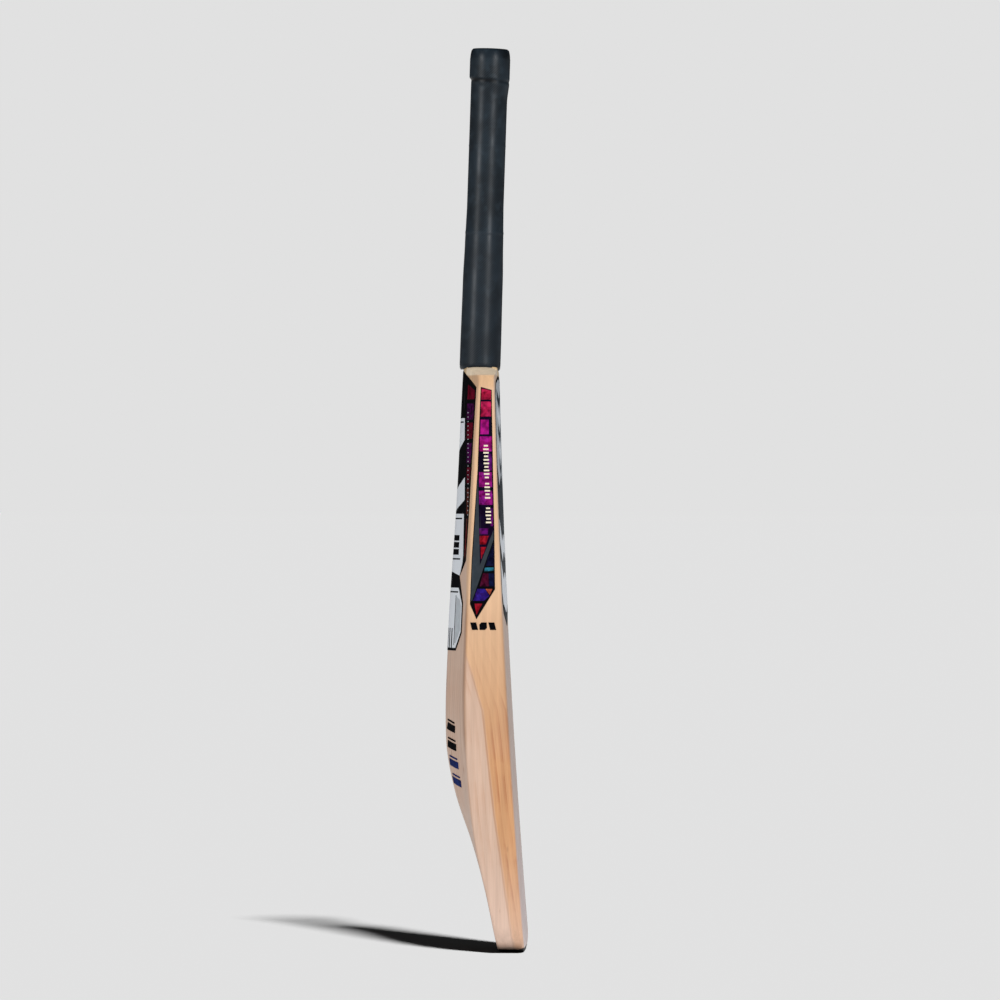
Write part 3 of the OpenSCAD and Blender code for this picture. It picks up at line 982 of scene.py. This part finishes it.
# %% Inks
INKS = {
    "black": (9, 9, 12, 0.0),
    "white": (219, 224, 230, 0.0),
    "silver": (176, 182, 188, 0.1),
    "slate": (50, 56, 62, 0.12),
    "sky": (176, 181, 187, 0.12),
    "night": (16, 8, 28, 0.5),
    "crimson": (148, 26, 58, 1.0),
    "rose": (150, 24, 62, 0.9),
    "magenta": (136, 18, 102, 0.8),
    "purple": (114, 18, 98, 0.9),
    "plum": (72, 12, 78, 1.0),
    "maroon": (80, 4, 26, 0.8),
    "aubergine": (58, 4, 58, 0.9),
    "umber": (74, 36, 30, 0.8),
    "ember": (118, 16, 28, 1.0),
    "violet": (38, 20, 96, 1.0),
    "orange": (140, 62, 44, 1.0),
    "teal": (34, 88, 104, 0.9),
    "navy": (12, 16, 42, 1.0),
    "wine": (54, 8, 28, 1.0),
    "cream": (228, 216, 190, 0.0),
    "ink_blue": (26, 40, 92, 0.4),
}
ink_names = list(INKS)
sheet_top, sheet_under = 0.3, 0.02
print(len(ink_names), "inks")


# %% Outlines on a flat sheet
def inside(point, outline):
    """Whether a point lies within an outline, by counting the sides it crosses."""
    x, y = point
    odd = False
    for (x0, y0), (x1, y1) in zip(outline, outline[1:] + outline[:1]):
        if (y0 > y) != (y1 > y) and x < x0 + (x1 - x0) * (y - y0) / (y1 - y0):
            odd = not odd
    return odd


def centre_in(face, outline):
    """Whether the middle of a face lies within an outline."""
    centre = face.calc_center_median()
    return inside((centre.x, centre.z), outline)


print("a point in a square:", inside((0.5, 0.5), [(0, 0), (1, 0), (1, 1), (0, 1)]))


# %% Cutting and printing a flat sheet
def score(bm, outline, cell):
    """Cuts the sheet along every side of an outline."""
    for (x0, z0), (x1, z1) in zip(outline, outline[1:] + outline[:1]):
        near = []
        for face in bm.faces:
            c = face.calc_center_median()
            if (min(x0, x1) - cell < c.x < max(x0, x1) + cell
                    and min(z0, z1) - cell < c.z < max(z0, z1) + cell):
                near.append(face)
        parts = set(near)
        for face in near:
            parts.update(face.edges)
            parts.update(face.verts)
        across = Vector((z1 - z0, 0, x0 - x1)).normalized()
        bmesh.ops.bisect_plane(bm, geom=list(parts), dist=0.002, plane_co=(x0, 0, z0),
                               plane_no=across)


def flat_sheet(outline, cell, ink):
    """A printed sheet in the X-Z plane, cut to its outline and all of one ink."""
    xs, zs = [p[0] for p in outline], [p[1] for p in outline]
    wide, tall = max(xs) - min(xs), max(zs) - min(zs)
    bm = bmesh.new()
    bm.faces.layers.int.new("ink")
    bmesh.ops.create_grid(bm, x_segments=max(2, round(wide / cell)),
                          y_segments=max(2, round(tall / cell)), size=0.5)
    bmesh.ops.scale(bm, vec=(wide, tall, 1), verts=bm.verts)
    bmesh.ops.rotate(bm, matrix=Matrix.Rotation(math.pi / 2, 3, "X"), verts=bm.verts)
    middle = ((max(xs) + min(xs)) / 2, 0, (max(zs) + min(zs)) / 2)
    bmesh.ops.translate(bm, vec=middle, verts=bm.verts)
    score(bm, outline, cell)
    spare = [f for f in bm.faces if not centre_in(f, outline)]
    bmesh.ops.delete(bm, geom=spare, context="FACES")
    layer = bm.faces.layers.int["ink"]
    for face in bm.faces:
        face[layer] = ink_names.index(ink)
    return bm


def stamp(bm, outline, ink, cell):
    """Prints one patch of ink on the sheet."""
    score(bm, outline, cell)
    layer = bm.faces.layers.int["ink"]
    for face in bm.faces:
        if centre_in(face, outline):
            face[layer] = ink_names.index(ink)


print("a sheet starts as one ink and is stamped with others")


# %% Giving a sheet its thickness
def lay(bm, onto):
    """Gives the sheet its thickness and lays it on a surface; onto places a point of it."""
    made = bmesh.ops.extrude_face_region(bm, geom=bm.faces[:])["geom"]
    upper = set(g for g in made if isinstance(g, bmesh.types.BMVert))
    layer = bm.faces.layers.int["ink"]
    for face in bm.faces:
        levels = set(v in upper for v in face.verts)
        if len(levels) == 2:
            side = [f for e in face.edges if all(v in upper for v in e.verts)
                    for f in e.link_faces if f is not face]
            if side:
                face[layer] = side[0][layer]
    for vert in bm.verts:
        vert.co = onto(vert.co.x, vert.co.z, sheet_top if vert in upper else sheet_under)
    bmesh.ops.recalc_face_normals(bm, faces=bm.faces)
    colour = bm.loops.layers.float_color.new("ink")
    for face in bm.faces:
        red, green, blue, mottle = INKS[ink_names[face[layer]]]
        value = (*paint(red, green, blue)[:3], mottle)
        for loop in face.loops:
            loop[colour] = value
    bm.faces.layers.int.remove(layer)
    return bm


def gather(sheets):
    """Puts several loose sheets into one mesh."""
    joined = bmesh.new()
    for sheet in sheets:
        part = bpy.data.meshes.new("part")
        sheet.to_mesh(part)
        sheet.free()
        joined.from_mesh(part)
        bpy.data.meshes.remove(part)
    return joined


print("sheet tools ready")

# %% [markdown]
# The dark inks on the vinyl are matt and the pale ones have a gloss coat. The coloured cells of
# the print are not flat colours but a low-cut mosaic with lighter and darker facets, so a cell
# texture brightens and darkens the ink wherever the mottle value allows it.

# %% Printed vinyl
mottle_group, start, end = new_group(
    "print mottle",
    [("Ink", COLOR, (1, 1, 1, 1)), ("Amount", FLOAT, 0.0)],
    [("Color", COLOR)],
)
place = add(mottle_group, "ShaderNodeTexCoord").outputs["Object"]
facets = add(mottle_group, "ShaderNodeTexVoronoi", {"Vector": place, "Scale": 190.0})
cloud = add(mottle_group, "ShaderNodeTexNoise", {"Vector": place, "Scale": 230.0, "Detail": 3.0})
facet = add(mottle_group, "ShaderNodeSeparateColor", {0: facets.outputs["Color"]})
lightness = calc(mottle_group, "ADD",
                 calc(mottle_group, "MULTIPLY", facet.outputs[0], 0.6),
                 ease(mottle_group, cloud.outputs["Fac"], 0.32, 0.68, 0.2, 1.25))
tint = calc(mottle_group, "MULTIPLY_ADD", facet.outputs[1], 0.5, 0.75)
tinted = calc(mottle_group, "MULTIPLY", lightness, tint)
lit = add(mottle_group, "ShaderNodeCombineColor", {0: lightness, 1: tinted, 2: tinted})
varied = mix(mottle_group, 1.0, start.outputs["Ink"], lit.outputs[0], "MULTIPLY")
mottle_group.links.new(mix(mottle_group, start.outputs["Amount"], start.outputs["Ink"], varied),
                       end.inputs["Color"])


def printed(name, gloss, scuff_tone):
    """A material for anything printed: it reads the ink from the sheet's own colours."""
    material, tree, shader = new_finish(name, gloss, coat_roughness=gloss, specular=0.004)
    ink = add(tree, "ShaderNodeAttribute", attribute_name="ink")
    marks = use(tree, handling, {"Patch size": 45.0, "Scratch size": 330.0})
    tone = use(tree, mottle_group, {"Ink": ink.outputs["Color"],
                                    "Amount": ink.outputs["Alpha"]}).outputs["Color"]
    mark_strength = calc(tree, "MULTIPLY", marks.outputs["Scratches"], 0.12)
    tone = mix(tree, mark_strength, tone, scuff_tone)
    tree.links.new(tone, shader.inputs["Base Color"])
    dull(tree, shader, marks.outputs["Patches"], gloss - 0.06, gloss + 0.1)
    lightness = add(tree, "ShaderNodeSeparateColor", {0: ink.outputs["Color"]}).outputs[1]
    tree.links.new(ease(tree, lightness, 0.1, 0.6, 0.0, 0.7), shader.inputs["Coat Weight"])
    relief(tree, shader, marks.outputs["Patches"], 0.12, 0.0004)
    return material


vinyl = printed("printed vinyl", 0.36, paint(90, 90, 96))
transfer = printed("transfer ink", 0.45, paint(150, 125, 108))
print("materials:", vinyl.name, transfer.name)


# %% [markdown]
# ### Where the sheets lie
# Three small functions place a point of a flat sheet on the back, the face or an edge. On an edge
# the sheet's width is measured backwards from the corner of the face.

# %% Surfaces that sheets are laid on
def on_back(x, z, lift):
    """A point above the back, square to its slope."""
    slope = back_slope(x, z)
    return (x, back_at(x, z) + lift * math.sqrt(1 + slope * slope), z)


def on_face(x, z, lift):
    """A point in front of the face."""
    return (x, front_at(x, z) - lift, z)


def on_edge(side):
    """Gives the function that places a point on one edge; side is -1 or 1."""
    def place_point(behind, z, lift):
        """A point out from the edge, following its rounded corners."""
        flat_end = edge_at(z) - corner
        over = min(corner, max(0, corner - behind, behind - flat_end))
        out = half_width - corner + math.sqrt(corner ** 2 - over ** 2) + lift
        return (side * out, face_at(z) + behind, z)
    return place_point


def mirrored(right):
    """The outline of a patch that is the same on both sides of the middle."""
    return right + [(-x, z) for x, z in reversed(right)]


def bar(middle, wide, top, tall):
    """The outline of a small upright rectangle; wide is half its width."""
    return [(middle - wide, top), (middle + wide, top), (middle + wide, top - tall),
            (middle - wide, top - tall)]


def both(bm, outline, ink, cell):
    """Stamps a patch and its mirror image."""
    stamp(bm, outline, ink, cell)
    stamp(bm, [(-x, z) for x, z in outline], ink, cell)


print("surfaces ready")

# %% [markdown]
# ### The edge stickers
# Each edge has a long arrow. Its dark border frames a column of coloured cells, which runs from
# crimson through magenta to violet, with a slate band folded across near the tip. Rows of short
# cream dashes run up the middle.

# %% Edge stickers
edge_arrow = [(2.5, 527.4), (3, 481), (4.1, 396), (5.8, 341), (24.5, 313), (29.9, 327),
              (26.5, 368), (17.7, 453), (12.7, 530.2)]
edge_cells = [
    ("night", [(3.3, 526.6), (12, 529.2), (16.9, 453), (18.8, 420), (19, 364), (5, 395)]),
    ("crimson", [(11.9, 528.8), (3.2, 526.8), (3.4, 518.4), (12.5, 518.4)]),
    ("rose", [(12.7, 516.6), (3.4, 516.6), (3.5, 502.6), (13.5, 502.6)]),
    ("magenta", [(13.5, 499.6), (6, 499.6), (6.3, 486), (14.3, 486)]),
    ("magenta", [(14.7, 484), (3.8, 484), (4.1, 470), (15.4, 470)]),
    ("plum", [(8, 467.6), (4.2, 467.6), (4.5, 452), (8.2, 452)]),
    ("purple", [(16.6, 450.6), (4.5, 450.6), (4.7, 436.6), (16.9, 436.6)]),
    ("purple", [(17.2, 433.2), (4.7, 433.2), (4.9, 420), (17.5, 420)]),
    ("plum", [(7.4, 417), (4.9, 417), (5.1, 400), (7.4, 400)]),
    ("plum", [(18, 398), (9.6, 398), (10.6, 392.4), (18.2, 392.4)]),
    ("ember", [(18.2, 391), (9.6, 391), (12.6, 383), (18.4, 383)]),
    ("ember", [(17.6, 380.6), (12.4, 380.6), (17.6, 369)]),
    ("slate", [(17.7, 446), (18.1, 406), (19, 363.5), (4.9, 396.3), (5.2, 387.5), (12, 370.5),
               (19.2, 352), (28, 329.6), (28.9, 331), (25.7, 368)]),
    ("navy", [(5.5, 384), (6, 363), (13.6, 363), (11.4, 370)]),
    ("teal", [(14.4, 361.2), (6.2, 361.6), (6.3, 358.4), (15.2, 357.8)]),
    ("wine", [(16.4, 356), (11.4, 356), (11.4, 343.8), (20, 343.8)]),
    ("navy", [(11.2, 356), (6.3, 356), (6.5, 343.8), (11.2, 343.8)]),
    ("violet", [(22.4, 341.4), (15.4, 341.4), (11.4, 335), (16.6, 330.2), (26.8, 330.2)]),
    ("orange", [(14.8, 341.4), (8.2, 341.4), (11, 335.8)]),
    ("ember", [(25.6, 327.6), (18.4, 327.6), (24.2, 317)]),
]
dash_gap = 3.3


def edge_sheet(side):
    """One edge's arrow with its cells and three groups of dashes."""
    bm = flat_sheet(edge_arrow, 2.0, "black")
    for ink, outline in edge_cells:
        stamp(bm, outline, ink, 2.5)
    for top, count, middle in [(476, 10, 9.4), (440.5, 5, 9.3), (417.5, 5, 9.2)]:
        for k in range(count):
            wide = 2.5 if k % 3 else 1.9
            stamp(bm, bar(middle, wide, top - dash_gap * k, 1.5), "cream", 2.5)
    return lay(bm, on_edge(side))


finish_piece("edge_sticker_near", edge_sheet(-1), vinyl, ["edge_sticker_left"])
finish_piece("edge_sticker_far", edge_sheet(1), vinyl, ["edge_sticker_right"])

# %% [markdown]
# ### The back sticker
# The long panel on the back is black, with plain white blocks and chevrons down its middle, slats
# and a comb of slits cut into them, a dark mosaic along each side and a row of small ticks.

# %% Back sticker
back_panel = mirrored([(6, 546), (47, 530), (45, 420), (43, 368), (27, 353), (40, 328),
                       (40, 300), (26, 283)])
ticks = 24
back_mesh = flat_sheet(back_panel, 3.0, "black")
for ink, outline in [
    ("maroon", [(22, 533), (43.5, 527), (43.5, 519), (22, 519)]),
    ("aubergine", [(22, 515), (43.3, 515), (43, 500), (23, 500)]),
    ("maroon", [(24.5, 497), (42.8, 497), (42.6, 482), (25.5, 482)]),
    ("aubergine", [(27, 478), (42.6, 478), (42.3, 459), (29, 459)]),
    ("maroon", [(31, 455), (42.2, 455), (42, 440), (32.5, 440)]),
    ("umber", [(34, 436), (42, 436), (41.6, 411), (36.5, 411)]),
    ("umber", [(37.5, 407), (41.4, 407), (40.6, 372), (38, 369)]),
    ("ember", [(39.3, 400), (40.4, 400), (40, 374), (39, 374)]),
]:
    both(back_mesh, outline, ink, 3.6)
for ink, right in [
    ("white", [(17.4, 501.5), (20, 481), (2, 470)]),
    ("white", [(2, 434), (26, 446), (29, 424.5), (2, 414)]),
    ("white", [(29.3, 411.5), (34, 373), (33.3, 366), (27.5, 353.5), (6, 357)]),
    ("white", [(27, 342), (37.6, 327), (37.6, 301), (25, 285.5)]),
    ("black", [(15, 498.6), (15, 497.2)]),
    ("black", [(25, 407.8), (25, 406.4)]),
    ("black", [(20.5, 391.5), (20.8, 386.2)]),
    ("black", [(20.8, 385), (21.1, 379.6)]),
    ("black", [(21.1, 378.4), (21.5, 373)]),
    ("black", [(26, 369.8), (26, 368.4)]),
    ("black", [(26, 338.8), (26, 337.4)]),
]:
    stamp(back_mesh, mirrored(right), ink, 3.6)
for ink, outline in [
    ("silver", [(22, 334), (31, 331), (35.6, 325), (35.6, 302), (25.6, 290), (22, 290)]),
    ("black", [(20.4, 335), (21.8, 335), (21.8, 288), (20.4, 288)]),
    ("black", [(14, 304), (16.6, 304), (16.6, 285), (14, 285)]),
    ("black", [(8.4, 304), (11, 304), (11, 285), (8.4, 285)]),
    ("black", [(2.8, 304), (5.4, 304), (5.4, 285), (2.8, 285)]),
]:
    both(back_mesh, outline, ink, 3.6)
for k in range(ticks):
    share = k / (ticks - 1)
    both(back_mesh, bar(26 + 15.5 * share, 1.2, 507 - 96 * share, 0.9), "silver", 3.6)
finish_piece("back_sticker_panel", lay(back_mesh, on_back), vinyl, ["back_sticker"])

# %% [markdown]
# ### The face sticker
# The face has a shorter panel with a point at its lower end. It has slate, sky and white fields
# inside a black border, and five chevrons, with no print on the hitting area below it.

# %% Face sticker
face_panel = mirrored([(10, 541), (38, 536), (49, 524), (49, 330), (40, 318), (0.5, 306)])
face_mesh = flat_sheet(face_panel, 3.0, "black")
for ink, right in [
    ("sky", [(12, 538), (37, 533.5), (46.8, 522.6), (46.8, 456), (30, 438), (6, 448)]),
    ("slate", [(6, 444), (30, 434), (46.8, 452), (46.8, 412), (20, 390), (6, 396)]),
    ("white", [(6, 392), (20, 386), (46.8, 408), (46.8, 385), (24, 367), (6, 375)]),
    ("slate", [(6, 371), (24, 363), (46.8, 381), (46.8, 374), (22, 354), (6, 360)]),
    ("white", [(6, 356), (22, 350), (46.8, 370), (46.8, 338), (38, 327), (6, 319)]),
    ("slate", [(6, 316), (38, 324), (39, 320), (0.5, 308.4)]),
]:
    stamp(face_mesh, mirrored(right), ink, 3.6)
for k in range(5):
    top, reach = 520 - 16 * k, 34 - 4 * k
    chevron = [(0.5, top), (reach, top + 9), (reach, top - 1), (0.5, top - 10)]
    stamp(face_mesh, mirrored(chevron), "white" if k % 2 else "slate", 3.6)
finish_piece("face_sticker_panel", lay(face_mesh, on_face), vinyl, ["face_sticker"])

# %% [markdown]
# ### Transfers
# Transfers are ink without a backing. Low on the back are four pairs of slanted strokes, a broad
# one and a thin one, which change from blue to black on the way up. Under the tip of each edge
# arrow are three small marks: two slanted blocks with a cut block between them.

# %% Back transfer
strokes = []
for k in range(4):
    z = 154 + 17 * k
    ink = "ink_blue" if k < 2 else "black"
    broad = [(-30 + k, z + 0.5), (-20, z + 1.6), (-8, z + 4), (-8 - k, z + 10.6), (-20, z + 8.4),
             (-31 + k, z + 7)]
    thin = [(-29 + k, z + 9), (-19, z + 10.4), (-10, z + 12.2), (-11, z + 13.6), (-20, z + 12),
            (-30 + k, z + 10.4)]
    strokes += [lay(flat_sheet(outline, 2.0, ink), on_back) for outline in (broad, thin)]
finish_piece("back_transfer_strokes", gather(strokes), transfer,
             ["back_transfer"])


# %% Edge transfers
def edge_marks(side):
    """Three marks in a row: a slanted block, a block with cut corners, a slanted block."""
    marks = []
    for k in range(3):
        low = 6.5 + 8.5 * k
        if k == 1:
            outline = [(low, 305), (low + 2, 303), (low + 7, 303), (low + 7, 308), (low + 5, 310),
                       (low, 310)]
        else:
            outline = [(low, 303), (low + 5.6, 303), (low + 7, 310), (low + 1.4, 310)]
        marks.append(lay(flat_sheet(outline, 1.5, "black"), on_edge(side)))
    return gather(marks)


finish_piece("edge_transfer_near", edge_marks(-1), transfer,
             ["edge_transfer_left"])
finish_piece("edge_transfer_far", edge_marks(1), transfer,
             ["edge_transfer_right"])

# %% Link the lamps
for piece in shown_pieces():
    if piece.name != "floor":
        lit_bat.objects.link(piece)
    if piece.name not in ("floor", grip.name):
        lit_blade.objects.link(piece)
lit_grip.objects.link(grip)
